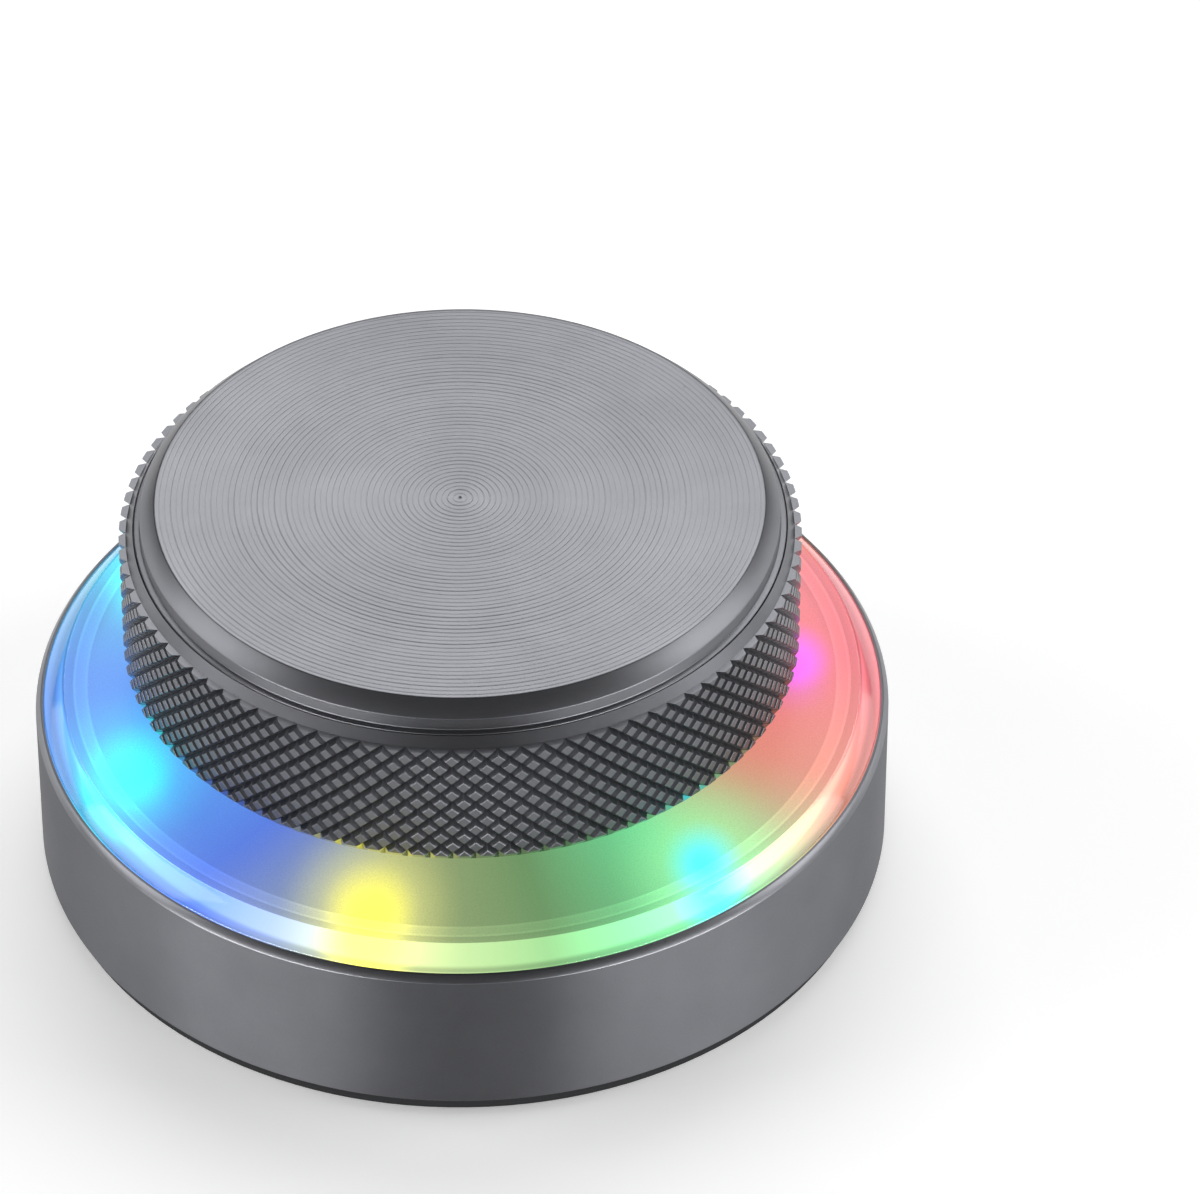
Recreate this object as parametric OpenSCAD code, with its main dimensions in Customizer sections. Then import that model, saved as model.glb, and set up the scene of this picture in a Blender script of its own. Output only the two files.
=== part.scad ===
// Desk dial controller: a knurled aluminium dial that floats over a lit acrylic ring on a round metal base.
// Millimetres. The dial turns about Z, the foot is on z = 0, the front is -Y and the charging socket +Y.
// Heights stack up from the foot, so a change of one height carries everything above it.

/* [Base] */
// Outer diameter of the metal base ring
base_d = 80; // [78:0.5:90]
// Thickness of the base wall
base_wall = 2.4; // [2:0.1:3]
// Thickness of the rubber foot
foot_h = 1.5; // [1:0.1:3]
// Step in from the base wall to the edge of the foot
foot_inset = 0.7; // [0.4:0.1:2]
// Thickness of the bottom cover
cover_t = 2; // [1.8:0.1:3]
// Height of the bay between the bottom cover and the board
bay_h = 5.5; // [5.2:0.1:8]
// Width of the bevel on the metal rim
rim_bevel_w = 0.5; // [0.2:0.05:0.55]
// Height of the bevel on the metal rim
rim_bevel_h = 0.7; // [0.3:0.05:1.5]
// Thickness of the metal lip round the lit ring
rim_lip = 0.7; // [0.6:0.05:1.2]
// Break of the base wall's lower edge
edge_break = 0.2; // [0.1:0.05:0.5]

/* [Lit ring] */
// Depth of the acrylic ring's seat in the metal rim
glass_seat = 2.7; // [1.6:0.1:4]
// Height that the acrylic ring stands above the metal rim
glass_proud = 1.8; // [0.8:0.1:3]
// Width of the bevel round the acrylic ring
glass_bevel_w = 1.85; // [0.6:0.05:3]
// Diameter of the hole in the acrylic ring
glass_bore_d = 46; // [44:0.5:48]
// Thickness of the diffuser under the acrylic ring
diffuser_t = 0.4; // [0.3:0.05:0.8]
// Height of the light chamber between the board and the diffuser
chamber_h = 3.2; // [2.6:0.1:5]
// Wall of the white light chamber
chamber_wall = 1.6; // [1:0.1:1.8]
// Number of lights
led_count = 7; // [5:1:10]
// Distance from the light chamber's outer edge in to the circle of lights
led_inset = 4; // [3.8:0.1:6]
// Side of a light
led_w = 3.5; // [2.8:0.1:3.8]
// Height of a light
led_h = 1.4; // [0.8:0.1:2]
// Turn of the first light from the +X axis
led_turn = -2; // [-8:1:8]

/* [Dial] */
// Diameter over the knurl
dial_d = 63; // [62:0.2:68]
// Air gap between the lit ring and the dial
dial_gap = 4.5; // [4:0.1:7]
// Height of the bevel below the knurl
dial_bevel_h = 0.8; // [0.3:0.1:1.5]
// Height of the knurled band
knurl_h = 12.3; // [11:0.1:16]
// Grooves that run each way round the knurl
knurl_starts = 94; // [60:1:100]
// Rows of diamonds up the band
knurl_rows = 6; // [4:1:6]
// Depth of the knurl's grooves
knurl_depth = 0.65; // [0.3:0.05:0.9]
// Share of a diamond that is flat on top
knurl_flat = 0.56; // [0.4:0.02:0.7]
// Distance from the knurl's flats in to the ledge under the neck
shoulder_w = 1.4; // [1.2:0.05:1.6]
// Rise of the sloping shoulder above the knurl
shoulder_h = 1.1; // [0.6:0.05:1.4]
// Height of the neck between the shoulder and the face bevel
neck_h = 1.2; // [0.6:0.1:2]
// Bevel round the turned face
face_bevel = 1.4; // [0.6:0.1:1.6]
// Diameter of the turned face
face_d = 56.2; // [52:0.1:56.6]
// Thickness of the dial's top plate
face_t = 3; // [2.6:0.1:4]
// Wall of the dial's inner drum
drum_wall = 2; // [1.4:0.1:2.4]
// Step from the flange under the neck in to the drum
drum_step = 1.6; // [1:0.1:2]

/* [Encoder] */
// Side of the encoder's body
encoder_w = 12; // [11.6:0.1:13]
// Height of the encoder's plastic base
encoder_base_h = 3.5; // [3.3:0.1:4]
// Height of the encoder's metal frame
encoder_frame_h = 3; // [2.8:0.1:3.6]
// Diameter of the threaded bushing
bushing_d = 7; // [6.8:0.1:8]
// Length of the bushing above the frame
bushing_h = 7; // [6:0.1:7.5]
// Diameter of the dial's shaft
shaft_d = 6; // [5.6:0.1:6.2]
// Distance from the shaft's axis to its flat
shaft_flat = 1.5; // [1.2:0.1:2]
// Travel of the dial when it is pressed
press_travel = 0.5; // [0.3:0.05:0.7]
// Thickness of the deck that the encoder is clamped to
deck_t = 1.8; // [1.4:0.1:2.4]

/* [Electronics] */
// Thickness of the main board
board_t = 1.6; // [1.2:0.1:2]
// Length of the battery
battery_l = 32; // [24:0.5:34]
// Width of the battery
battery_w = 18; // [14:0.5:18]
// Thickness of the battery
battery_h = 4; // [3:0.1:4.2]
// Thickness of the foam pad under the battery
pad_t = 0.5; // [0.3:0.1:0.8]
// Width of the charging socket's metal shell
usb_w = 8.94; // [8.6:0.02:9.2]
// Height of the charging socket's metal shell
usb_h = 3.26; // [3:0.02:3.5]
// Depth of the charging socket's metal shell
usb_l = 7.3; // [6.6:0.1:7.6]
// Distance of the socket's mouth inside the base wall
usb_recess = 1.4; // [0.8:0.1:2]
// Travel of the power switch
switch_travel = 2; // [1.5:0.1:2.4]
// Length of the power switch's finger tab
tab_l = 3; // [2.4:0.1:3.4]

/* [Hidden] */
$fn = 96;
eps = 0.01;
cut_over = 1;

// Clearances
slip = 0.2;
glass_fit = 0.05;
run_fit = 0.05;
key_fit = 0.02;
stop_gap = 0.1;
slot_gap = 0.3;

// Heights, from the foot up
cover_z = foot_h;
cover_top = cover_z + cover_t;
board_z = cover_top + bay_h;
board_top = board_z + board_t;
diffuser_z = board_top + chamber_h;
glass_z = diffuser_z + diffuser_t;
rim_z = glass_z + glass_seat;
glass_top = rim_z + glass_proud;
dial_z = glass_top + dial_gap;
knurl_z = dial_z + dial_bevel_h;
knurl_top = knurl_z + knurl_h;
ledge_z = knurl_top + shoulder_h;
neck_top = ledge_z + neck_h;
face_z = neck_top + face_bevel;
face_under = face_z - face_t;

// Radii of the base and the lit ring
base_r = base_d / 2;
base_in = base_r - base_wall;
foot_r = base_r - foot_inset;
rebate_r = base_r - rim_lip;
glass_r = rebate_r - glass_fit;
glass_bore_r = glass_bore_d / 2;
inner_r = base_in - slip;
board_gap = 1.1;
board_r = base_in - board_gap;
chamber_inset = 1.2;
chamber_in = glass_bore_r + chamber_inset;
chamber_floor = 0.8;
led_r = inner_r - led_inset;
led_window = led_w + 2 * slip;
led_dish_r = 0.4 * led_w;
led_dish_h = 0.2;

// Lugs inside the base ring and the screws that enter them
lug_angles = [45, 135, 225, 315];
lug_boss_r = 2.6;
lug_r = base_in - lug_boss_r;
lug_block = lug_boss_r + base_wall / 2;
screw_r = 1;
screw_hole = screw_r + stop_gap;
head_r = 1.8;
head_h = 0.8;
head_well = head_r + slip;
screw_end = 0.2;
cover_screw_l = 3.8;
drive_r = 0.7;
drive_h = 0.5;

// Radii of the dial
dial_r = dial_d / 2;
knurl_floor = dial_r - knurl_depth;
flange_r = dial_r - shoulder_w;
shoulder_slope = shoulder_h / (knurl_floor - flange_r);
neck_r = face_d / 2 + face_bevel;
drum_r = flange_r - drum_step;
drum_in = drum_r - drum_wall;
flange_h = 1;
drum_lift = 1;
drum_end = dial_z + drum_lift;

// Hub inside the dial
hub_gap = 2.5;
hub_r = drum_in - hub_gap;
hub_t = 2.2;
hub_z = face_under - hub_t;
hub_rim_w = 1.8;
hub_rim_h = 1.8;
hub_tube_wall = 2;
hub_tube_r = shaft_d / 2 + hub_tube_wall;
hub_ribs = 6;
hub_rib_t = 1.6;
hub_rib_h = 7;
hub_rib_sink = 0.5;
hub_screw_r = 13;
hub_screw_turn = 30;
hub_screw_l = 4;
hub_screws_n = 3;

// Encoder, from the board up
encoder_z = board_top;
frame_z = encoder_z + encoder_base_h;
encoder_top = frame_z + encoder_frame_h;
bushing_top = encoder_top + bushing_h;
bushing_r = bushing_d / 2;
shaft_r = shaft_d / 2;
bore_r = shaft_r + run_fit;
dome_floor = 0.3;
dome_z = encoder_z + dome_floor;
dome_r = 2.5;
dome_h = 0.2;
dome_room = 0.6;
rotor_deck = 1.7;
rotor_floor = encoder_z + rotor_deck;
rotor_z = rotor_floor + slip;
rotor_r = 4.7;
rotor_disc_h = 1.2;
rotor_room = rotor_r + slot_gap;
rotor_hub_r = 3.3;
frame_room = 4.4;
frame_roof = 0.6;
roof_z = encoder_top - frame_roof;
collar_w = 0.8;
collar_r = shaft_r + collar_w;
collar_t = 0.5;
collar_z = roof_z - stop_gap - collar_t;
rotor_top = collar_z - press_travel - stop_gap;
journal_r = 2;
journal_flat = 1.5;
plunger_r = 1.5;
plunger_z = dome_z + dome_h + press_travel + run_fit;
plunger_top = rotor_floor + press_travel + slip;
spring_t = 0.2;
spring_in = 3.6;
spring_out = rotor_room - stop_gap;
pin_w = 0.8;
pin_t = 0.6;
pin_below = 0.8;
pin_inset = 0.8;
pin_row = encoder_w / 2 - pin_inset;
pin_hole = 0.55;
pin_step = 2.5;
pin_places = [[-pin_step, -pin_row], [0, -pin_row], [pin_step, -pin_row],
              [-pin_step, pin_row], [pin_step, pin_row]];

// Deck that closes the middle of the lit ring and clamps the encoder
deck_neck_r = glass_bore_r - slip;
deck_flange_w = 1.4;
deck_flange_r = glass_bore_r + deck_flange_w;
deck_flange_t = 1.2;
deck_wall = 1.8;
deck_top = encoder_top + deck_t;
deck_hole = bushing_r + stop_gap;
baffle_step = 1.4;
baffle_r = deck_neck_r - baffle_step;
baffle_wall = 1.6;
baffle_reach = 3;
baffle_top = dial_z + baffle_reach;
leg_angles = [30, 150, 270];
leg_at = 16;
leg_r = 2.6;
board_screw_l = 4;
washer_r = 5.4;
washer_t = 0.5;
nut_across = 10;
nut_h = 2;
shaft_short = 1.5;
shaft_top = face_under - shaft_short;
hub_tube_gap = 0.9;
hub_tube_z = bushing_top + press_travel + hub_tube_gap;

// Charging socket
usb_y = base_r - usb_recess;
usb_end = usb_y - usb_l;
usb_z = board_z - usb_h / 2;
usb_wall = 0.3;
tongue_w = 6.7;
tongue_t = 0.7;
tongue_l = 4.5;
tongue_block = 2;

// Battery in its cradle, which clears the base wall and the charging socket
cradle_gap = 0.4;
cradle_t = 1.2;
cradle_h = 2.5;
cradle_l = battery_l + 2 * (cradle_gap + cradle_t);
cradle_w = battery_w + 2 * (cradle_gap + cradle_t);
cradle_wall_gap = 2.5;
cradle_usb_gap = 1.2;
wall_reach = sqrt(pow(base_in - cradle_wall_gap, 2) - pow(cradle_l / 2, 2));
battery_y = min(wall_reach, usb_end - cradle_usb_gap) - cradle_w / 2;
battery_z = cover_top + pad_t;
pad_inset = 2;

// Battery's lead and its socket
lead_d = 1.2;
lead_pitch = 2;
lead_bend = 2;
lead_run = 2.4;
lead_drop = 2.5;
lead_off = 1.5;
lead_y = battery_y - lead_off;
lead_z = battery_z + 0.6 * battery_h;
lead_turn_x = battery_l / 2 + lead_run;
lead_turn_y = lead_y - lead_pitch / 2 - lead_bend;
socket_size = [6, 5, 3.6];
socket_key = [2, 1.6, 1.2];
socket_x = lead_turn_x + lead_bend + lead_pitch / 2;
socket_face = lead_turn_y - lead_drop;
notch_w = lead_pitch + 2 * lead_d;

// Chips on the underside of the board
chip_size = [6, 6, 0.85];
chip_at = [-14, -11];
crystal_size = [3.2, 2.5, 0.7];
crystal_at = [-14, -17];
charger_size = [3, 3, 1];
charger_at = [13, -10];

// Power switch under the board
switch_y = -22;
switch_ends = 3.5;
switch_l = tab_l + switch_travel + switch_ends;
switch_w = 3.6;
switch_h = 3.5;
switch_wall = 0.4;
tab_w = 1.8;
tab_end = 0.7;
switch_floor = board_z - switch_h;
slide_over = 0.8;
slide_l = tab_l + slide_over;
slide_w = 2.4;
slide_h = 1.6;
slide_room_l = slide_l + switch_travel + 2 * slot_gap;
slide_room_w = slide_w + 2 * stop_gap;
tab_slot_l = tab_l + switch_travel + 2 * stop_gap;
tab_slot_w = tab_w + 2 * stop_gap;
foot_slot_gap = 0.7;
foot_slot_l = tab_slot_l + 2 * foot_slot_gap;
foot_slot_w = tab_slot_w + 2 * foot_slot_gap;

// Solid of revolution from an outline of [radius, height] points
module turned(outline) {
    rotate_extrude() polygon(outline);
}

// Ring with square edges
module ring(r_in, r_out, z, h) {
    turned([[r_in, z], [r_out, z], [r_out, z + h], [r_in, z + h]]);
}

// Children repeated at the given angles about Z
module at_angles(angles) {
    for (a = angles) rotate([0, 0, a]) children();
}

// Box centred in X and Y that stands on z
module block(size, z) {
    translate([-size[0] / 2, -size[1] / 2, z]) cube(size);
}

// Flat outline with round ends, w long and h wide
module pill(w, h) {
    translate([-(w - h) / 2, -h / 2]) square([w - h, h]);
    for (s = [-1, 1]) translate([s * (w - h) / 2, 0]) circle(d = h);
}

// Outline w by h run along Y from its mouth at y, centred on height z
module along_y(y, z, l) {
    translate([0, y, z]) rotate([90, 0, 0]) linear_extrude(l) children();
}

// Pan-head screw: the head stands below z, the shank runs up from it
module screw(z, l) {
    difference() {
        union() {
            translate([0, 0, z - head_h]) cylinder(r = head_r, h = head_h);
            translate([0, 0, z]) cylinder(r = screw_r, h = l);
        }
        translate([0, 0, z - head_h - eps]) cylinder(r = drive_r, h = drive_h + eps, $fn = 6);
    }
}

// Metal base

module lug() {
    translate([lug_r, 0, cover_top]) cylinder(r = lug_boss_r, h = bay_h);
    translate([lug_r, -lug_boss_r, cover_top]) cube([lug_block, 2 * lug_boss_r, bay_h]);
}

module base_ring() {
    color("#68696d") difference() {
        union() {
            turned([[base_in, cover_z], [base_r - edge_break, cover_z],
                    [base_r, cover_z + edge_break], [base_r, rim_z - rim_bevel_h],
                    [base_r - rim_bevel_w, rim_z], [rebate_r, rim_z],
                    [rebate_r, glass_z], [base_in, glass_z]]);
            at_angles(lug_angles) lug();
        }
        at_angles(lug_angles) translate([lug_r, 0, cover_top - eps])
            cylinder(r = screw_r, h = cover_screw_l);
        along_y(base_r + cut_over, usb_z, base_wall + 2 * cut_over)
            pill(usb_w + 2 * slot_gap, usb_h + 2 * slot_gap);
    }
}

module rubber_foot() {
    color("#17181a") difference() {
        turned([[0, 0], [foot_r - edge_break, 0], [foot_r, edge_break], [foot_r, foot_h], [0, foot_h]]);
        translate([0, switch_y, -eps]) linear_extrude(foot_h + 2 * eps) pill(foot_slot_l, foot_slot_w);
    }
}

module battery_cradle() {
    translate([0, battery_y, 0]) difference() {
        block([cradle_l, cradle_w, cradle_h], cover_top);
        block([cradle_l - 2 * cradle_t, cradle_w - 2 * cradle_t, cradle_h + eps], cover_top);
        translate([cradle_l / 2, lead_y - battery_y, 0])
            block([4 * cradle_t, notch_w, cradle_h + eps], cover_top);
    }
}

module bottom_cover() {
    color("#1e1f22") difference() {
        union() {
            ring(0, inner_r, cover_z, cover_t);
            battery_cradle();
        }
        at_angles(lug_angles) translate([lug_r, 0, cover_z - eps]) {
            cylinder(r = head_well, h = head_h + eps);
            cylinder(r = screw_hole, h = cover_t + 2 * eps);
        }
        translate([0, switch_y, cover_z - eps]) linear_extrude(cover_t + 2 * eps)
            pill(tab_slot_l + tab_slot_w, tab_slot_w);
    }
}

module cover_screws() {
    color("#8d9094") at_angles(lug_angles) translate([lug_r, 0, 0])
        screw(cover_z + head_h, cover_screw_l - screw_end);
}

// Lit ring

module light_ring() {
    color("#b9e6ea") turned([[glass_bore_r, glass_z], [glass_r, glass_z], [glass_r, rim_z],
        [glass_r - glass_bevel_w, glass_top], [glass_bore_r, glass_top]]);
}

module diffuser_ring() {
    color("#f2f4f4") ring(chamber_in, inner_r, diffuser_z, diffuser_t);
}

module at_leds() {
    at_angles([for (i = [0 : led_count - 1]) led_turn + i * 360 / led_count])
        translate([led_r, 0, 0]) children();
}

module light_chamber() {
    color("#f4f4f0") difference() {
        turned([[chamber_in, board_top], [inner_r, board_top], [inner_r, diffuser_z],
            [inner_r - chamber_wall, diffuser_z], [inner_r - chamber_wall, board_top + chamber_floor],
            [chamber_in + chamber_wall, board_top + chamber_floor],
            [chamber_in + chamber_wall, diffuser_z], [chamber_in, diffuser_z]]);
        at_leds() block([led_window, led_window, chamber_floor + 2 * eps], board_top - eps);
    }
}

module leds() {
    color("#fbfbe8") at_leds() difference() {
        block([led_w, led_w, led_h], board_top);
        translate([0, 0, board_top + led_h - led_dish_h]) cylinder(r = led_dish_r, h = led_dish_h + eps);
    }
}

// Board and electronics

module main_board() {
    color("#1c5a3a") difference() {
        ring(0, board_r, board_z, board_t);
        at_angles(leg_angles) translate([leg_at, 0, board_z - eps])
            cylinder(r = screw_hole, h = board_t + 2 * eps);
        for (p = pin_places) translate([p[0], p[1], board_z - eps])
            cylinder(r = pin_hole, h = board_t + 2 * eps);
    }
}

module chip(size, at) {
    translate([at[0], at[1], 0]) difference() {
        block(size, board_z - size[2]);
        translate([-size[0] / 3, size[1] / 3, board_z - size[2] - eps])
            cylinder(r = size[0] / 12, h = size[2] / 4);
    }
}

module controller_chip() {
    color("#202124") chip(chip_size, chip_at);
}

module crystal_can() {
    color("#b9bcc0") translate([crystal_at[0], crystal_at[1], board_z - crystal_size[2]])
        linear_extrude(crystal_size[2]) pill(crystal_size[0], crystal_size[1]);
}

module charge_chip() {
    color("#202124") chip(charger_size, charger_at);
}

module battery_pad() {
    color("#3a3b3e") translate([0, battery_y, 0])
        block([battery_l - 2 * pad_inset, battery_w - 2 * pad_inset, pad_t], cover_top);
}

module battery() {
    color("#b4b9c0") translate([-battery_l / 2, battery_y, battery_z + battery_h / 2])
        rotate([90, 0, 90]) linear_extrude(battery_l) pill(battery_w, battery_h);
}

// One wire: out of the battery along +X, a quarter turn, then along -Y into the socket
module wire(bend_r) {
    translate([battery_l / 2, lead_turn_y + bend_r, lead_z]) rotate([0, 90, 0])
        cylinder(d = lead_d, h = lead_run, $fn = 32);
    translate([lead_turn_x, lead_turn_y, lead_z])
        rotate_extrude(angle = 90) translate([bend_r, 0]) circle(d = lead_d, $fn = 32);
    translate([lead_turn_x + bend_r, lead_turn_y, lead_z]) rotate([90, 0, 0])
        cylinder(d = lead_d, h = lead_drop, $fn = 32);
}

module battery_leads() {
    color("#a32222") for (bend_r = [lead_bend, lead_bend + lead_pitch]) wire(bend_r);
}

module battery_socket() {
    color("#efece2") translate([socket_x, socket_face - socket_size[1] / 2, 0]) difference() {
        block(socket_size, board_z - socket_size[2]);
        translate([0, -socket_size[1] / 2, 0]) block(socket_key, board_z - socket_size[2] - eps);
    }
}

module usb_c_shell() {
    color("#c3c6ca") difference() {
        along_y(usb_y, usb_z, usb_l) pill(usb_w, usb_h);
        along_y(usb_y + eps, usb_z, usb_l + 2 * eps) pill(usb_w - 2 * usb_wall, usb_h - 2 * usb_wall);
    }
}

module usb_c_tongue() {
    color("#2a2b2e") {
        along_y(usb_end + tongue_block, usb_z, tongue_block)
            pill(usb_w - 2 * usb_wall, usb_h - 2 * usb_wall);
        translate([0, usb_end + tongue_block + tongue_l / 2, 0])
            block([tongue_w, tongue_l, tongue_t], usb_z - tongue_t / 2);
    }
}

module power_switch_body() {
    color("#9a9da2") translate([0, switch_y, 0]) difference() {
        block([switch_l, switch_w, switch_h], switch_floor);
        block([slide_room_l, slide_room_w, slide_h + 2 * slip], switch_floor + switch_wall);
        block([tab_slot_l, tab_slot_w, 2 * switch_wall], switch_floor - eps);
    }
}

module power_switch_slider() {
    color("#e7e7e4") translate([-switch_travel / 2, switch_y, 0]) {
        block([slide_l, slide_w, slide_h], switch_floor + switch_wall + slip);
        block([tab_l, tab_w, switch_floor + switch_wall + 2 * slip - tab_end], tab_end);
    }
}

// Deck and encoder

module center_deck() {
    color("#1b1c1f") difference() {
        union() {
            ring(deck_neck_r - deck_wall, deck_neck_r, glass_z, glass_top - glass_z + deck_flange_t);
            ring(deck_neck_r - deck_wall, deck_flange_r, glass_top, deck_flange_t);
            ring(0, deck_neck_r, encoder_top, deck_t);
            ring(baffle_r - baffle_wall, baffle_r, glass_top, baffle_top - glass_top);
            at_angles(leg_angles) translate([leg_at, 0, board_top])
                cylinder(r = leg_r, h = encoder_top - board_top + deck_t / 2);
        }
        translate([0, 0, encoder_top - eps]) cylinder(r = deck_hole, h = deck_t + 2 * eps);
        at_angles(leg_angles) translate([leg_at, 0, board_top - eps])
            cylinder(r = screw_r, h = board_screw_l);
    }
}

module board_screws() {
    color("#8d9094") at_angles(leg_angles) translate([leg_at, 0, 0])
        screw(board_z, board_t + board_screw_l - screw_end);
}

module encoder_base() {
    color("#26272a") difference() {
        block([encoder_w, encoder_w, encoder_base_h], encoder_z);
        translate([0, 0, rotor_floor]) cylinder(r = rotor_room, h = encoder_base_h);
        translate([0, 0, dome_z]) cylinder(r = plunger_r + run_fit, h = encoder_base_h);
        translate([0, 0, dome_z]) cylinder(r = dome_r, h = dome_room);
    }
}

module encoder_pins() {
    color("#c9cbce") for (p = pin_places) translate([p[0], p[1], 0])
        block([pin_w, pin_t, board_t + pin_below], board_z - pin_below);
}

module encoder_frame() {
    color("#a9acb1") difference() {
        union() {
            block([encoder_w, encoder_w, encoder_frame_h], frame_z);
            translate([0, 0, encoder_top]) cylinder(r = bushing_r, h = bushing_h);
        }
        translate([0, 0, frame_z - eps]) cylinder(r = frame_room, h = roof_z - frame_z + eps);
        translate([0, 0, frame_z]) cylinder(r = bore_r, h = encoder_frame_h + bushing_h + eps);
    }
}

module encoder_washer() {
    color("#b4b7bb") ring(bushing_r + stop_gap, washer_r, deck_top, washer_t);
}

module encoder_nut() {
    color("#b4b7bb") difference() {
        translate([0, 0, deck_top + washer_t]) cylinder(d = nut_across / cos(30), h = nut_h, $fn = 6);
        translate([0, 0, deck_top]) cylinder(r = bushing_r, h = nut_h + 2 * washer_t);
    }
}

module detent_spring() {
    color("#cdb46a") ring(spring_in, spring_out, frame_z - spring_t, spring_t);
}

module switch_dome() {
    color("#d3d5d8") turned([[0, dome_z], [dome_r, dome_z], [dome_r, dome_z + dome_h / 2],
        [dome_r / 2, dome_z + dome_h], [0, dome_z + dome_h]]);
}

module switch_plunger() {
    color("#e9e6da") translate([0, 0, plunger_z]) cylinder(r = plunger_r, h = plunger_top - plunger_z);
}

// Round post of radius r with a flat at distance d from its axis
module flatted(r, d, z, h) {
    difference() {
        translate([0, 0, z]) cylinder(r = r, h = h);
        translate([d, -2 * r, z - eps]) cube([2 * r, 4 * r, h + 2 * eps]);
    }
}

module encoder_rotor() {
    color("#d8d5c8") difference() {
        union() {
            translate([0, 0, rotor_z]) cylinder(r = rotor_r, h = rotor_disc_h);
            translate([0, 0, rotor_z]) cylinder(r = rotor_hub_r, h = rotor_top - rotor_z);
        }
        flatted(journal_r + run_fit, journal_flat + run_fit, rotor_z - eps, rotor_top - rotor_z + 2 * eps);
    }
}

// Dial

module encoder_shaft() {
    color("#b9bcc1") {
        flatted(journal_r, journal_flat, plunger_top, collar_z - plunger_top);
        translate([0, 0, collar_z]) cylinder(r = collar_r, h = collar_t);
        translate([0, 0, collar_z]) cylinder(r = shaft_r, h = hub_tube_z - collar_z);
        flatted(shaft_r, shaft_flat, hub_tube_z, shaft_top - hub_tube_z);
    }
}

// Web from the hub's tube out to its rim, deepest at the tube
module hub_rib() {
    rotate([90, 0, 0]) translate([0, 0, -hub_rib_t / 2]) linear_extrude(hub_rib_t)
        polygon([[hub_tube_r - hub_rib_sink, hub_z + eps], [hub_tube_r - hub_rib_sink, hub_z - hub_rib_h],
                 [hub_r - hub_rim_w / 2, hub_z - hub_rim_h], [hub_r - hub_rim_w / 2, hub_z + eps]]);
}

function hub_screw_angles() = [for (i = [0 : hub_screws_n - 1]) hub_screw_turn + i * 360 / hub_screws_n];

module knob_hub() {
    color("#232427") difference() {
        union() {
            ring(0, hub_r, hub_z, hub_t);
            ring(hub_r - hub_rim_w, hub_r, hub_z - hub_rim_h, hub_rim_h + eps);
            translate([0, 0, hub_tube_z]) cylinder(r = hub_tube_r, h = hub_z - hub_tube_z + eps);
            at_angles([for (i = [0 : hub_ribs - 1]) i * 360 / hub_ribs]) hub_rib();
        }
        flatted(shaft_r + key_fit, shaft_flat + key_fit, hub_tube_z - eps, shaft_top - hub_tube_z + eps);
        at_angles(hub_screw_angles()) translate([hub_screw_r, 0, hub_z - eps])
            cylinder(r = screw_hole, h = hub_t + 2 * eps);
    }
}

module hub_screws() {
    color("#8d9094") at_angles(hub_screw_angles()) translate([hub_screw_r, 0, 0]) screw(hub_z, hub_screw_l);
}

module knob_cap() {
    color("#8c8d91") difference() {
        turned([[0, face_under], [drum_in, face_under], [drum_in, drum_end], [drum_r, drum_end],
                [drum_r, ledge_z - flange_h], [flange_r, ledge_z - flange_h], [flange_r, ledge_z],
                [neck_r, ledge_z], [neck_r, neck_top], [neck_r - face_bevel, face_z], [0, face_z]]);
        at_angles(hub_screw_angles()) translate([hub_screw_r, 0, face_under - eps])
            cylinder(r = screw_r, h = hub_screw_l - hub_t + 2 * eps);
    }
}

// Knurl: two sets of grooves cross and leave flat-topped diamonds. Half row k has groove crossings and
// diamonds in turn, i counts them round the dial, and odd half rows are turned by half a diamond.
// The lowest and the topmost half row have half diamonds.
knurl_cols = 2 * knurl_starts;
knurl_top_k = 2 * knurl_rows;
half_row = knurl_h / knurl_top_k;
half_turn = 360 / knurl_cols;
well_step = 0.5;
well_r = flange_r - well_step;
// Half width of a flat, and the half height that makes all four groove walls plane
flat_w = knurl_flat * knurl_floor * sin(half_turn);
wall_rise = dial_r - knurl_floor * cos(half_turn);
wall_sag = knurl_floor * (1 - cos(half_turn));
flat_h = half_row * knurl_flat * wall_rise / (wall_rise - wall_sag * (1 - knurl_flat));

function on_cone(r) = knurl_top + (knurl_floor - r) * shoulder_slope;
function turned(a, p) = [p.x * cos(a) - p.y * sin(a), p.x * sin(a) + p.y * cos(a), p.z];
function crossing(i, k) = turned((2 * i + k % 2) * half_turn, [knurl_floor, 0, knurl_z + k * half_row]);
function flat_corner(i, k, y, z) =
    turned((2 * i + 1 - k % 2) * half_turn, [dial_r, y, knurl_z + k * half_row + z]);

// Places in the list of points: two centres, bottom ring, well ring, crossings, then the flats' corners
function bottom_at(i) = 2 + i % knurl_starts;
function well_at(i) = 2 + knurl_starts + i % knurl_starts;
function crossing_at(i, k) = 2 + (2 + k) * knurl_starts + (i + knurl_starts) % knurl_starts;
function left_at(i, k) = 2 + (3 + knurl_top_k + 2 * k) * knurl_starts + 2 * i;
function tip_at(i, k, up) = 2 + (5 + 3 * knurl_top_k + 2 * k + (up ? 0 : -1)) * knurl_starts + i;

// Faces of the upper half of diamond i in half row k, or of its lower half: two groove walls
function groove_walls(i, k, up) =
    let (l = left_at(i, k), r = l + 1, t = tip_at(i, k, up), a = crossing_at(i - k % 2, k),
         b = crossing_at(i + 1 - k % 2, k), c = crossing_at(i, k + (up ? 1 : -1)))
    up ? [[a, c, t, l], [c, b, r, t]] : [[b, c, t, r], [c, a, l, t]];
function flat_face(i, k) =
    let (l = left_at(i, k), r = l + 1)
    k == 0 ? [l, tip_at(i, k, true), r] : k == knurl_top_k ? [l, r, tip_at(i, k, false)]
    : [l, tip_at(i, k, true), r, tip_at(i, k, false)];

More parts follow.
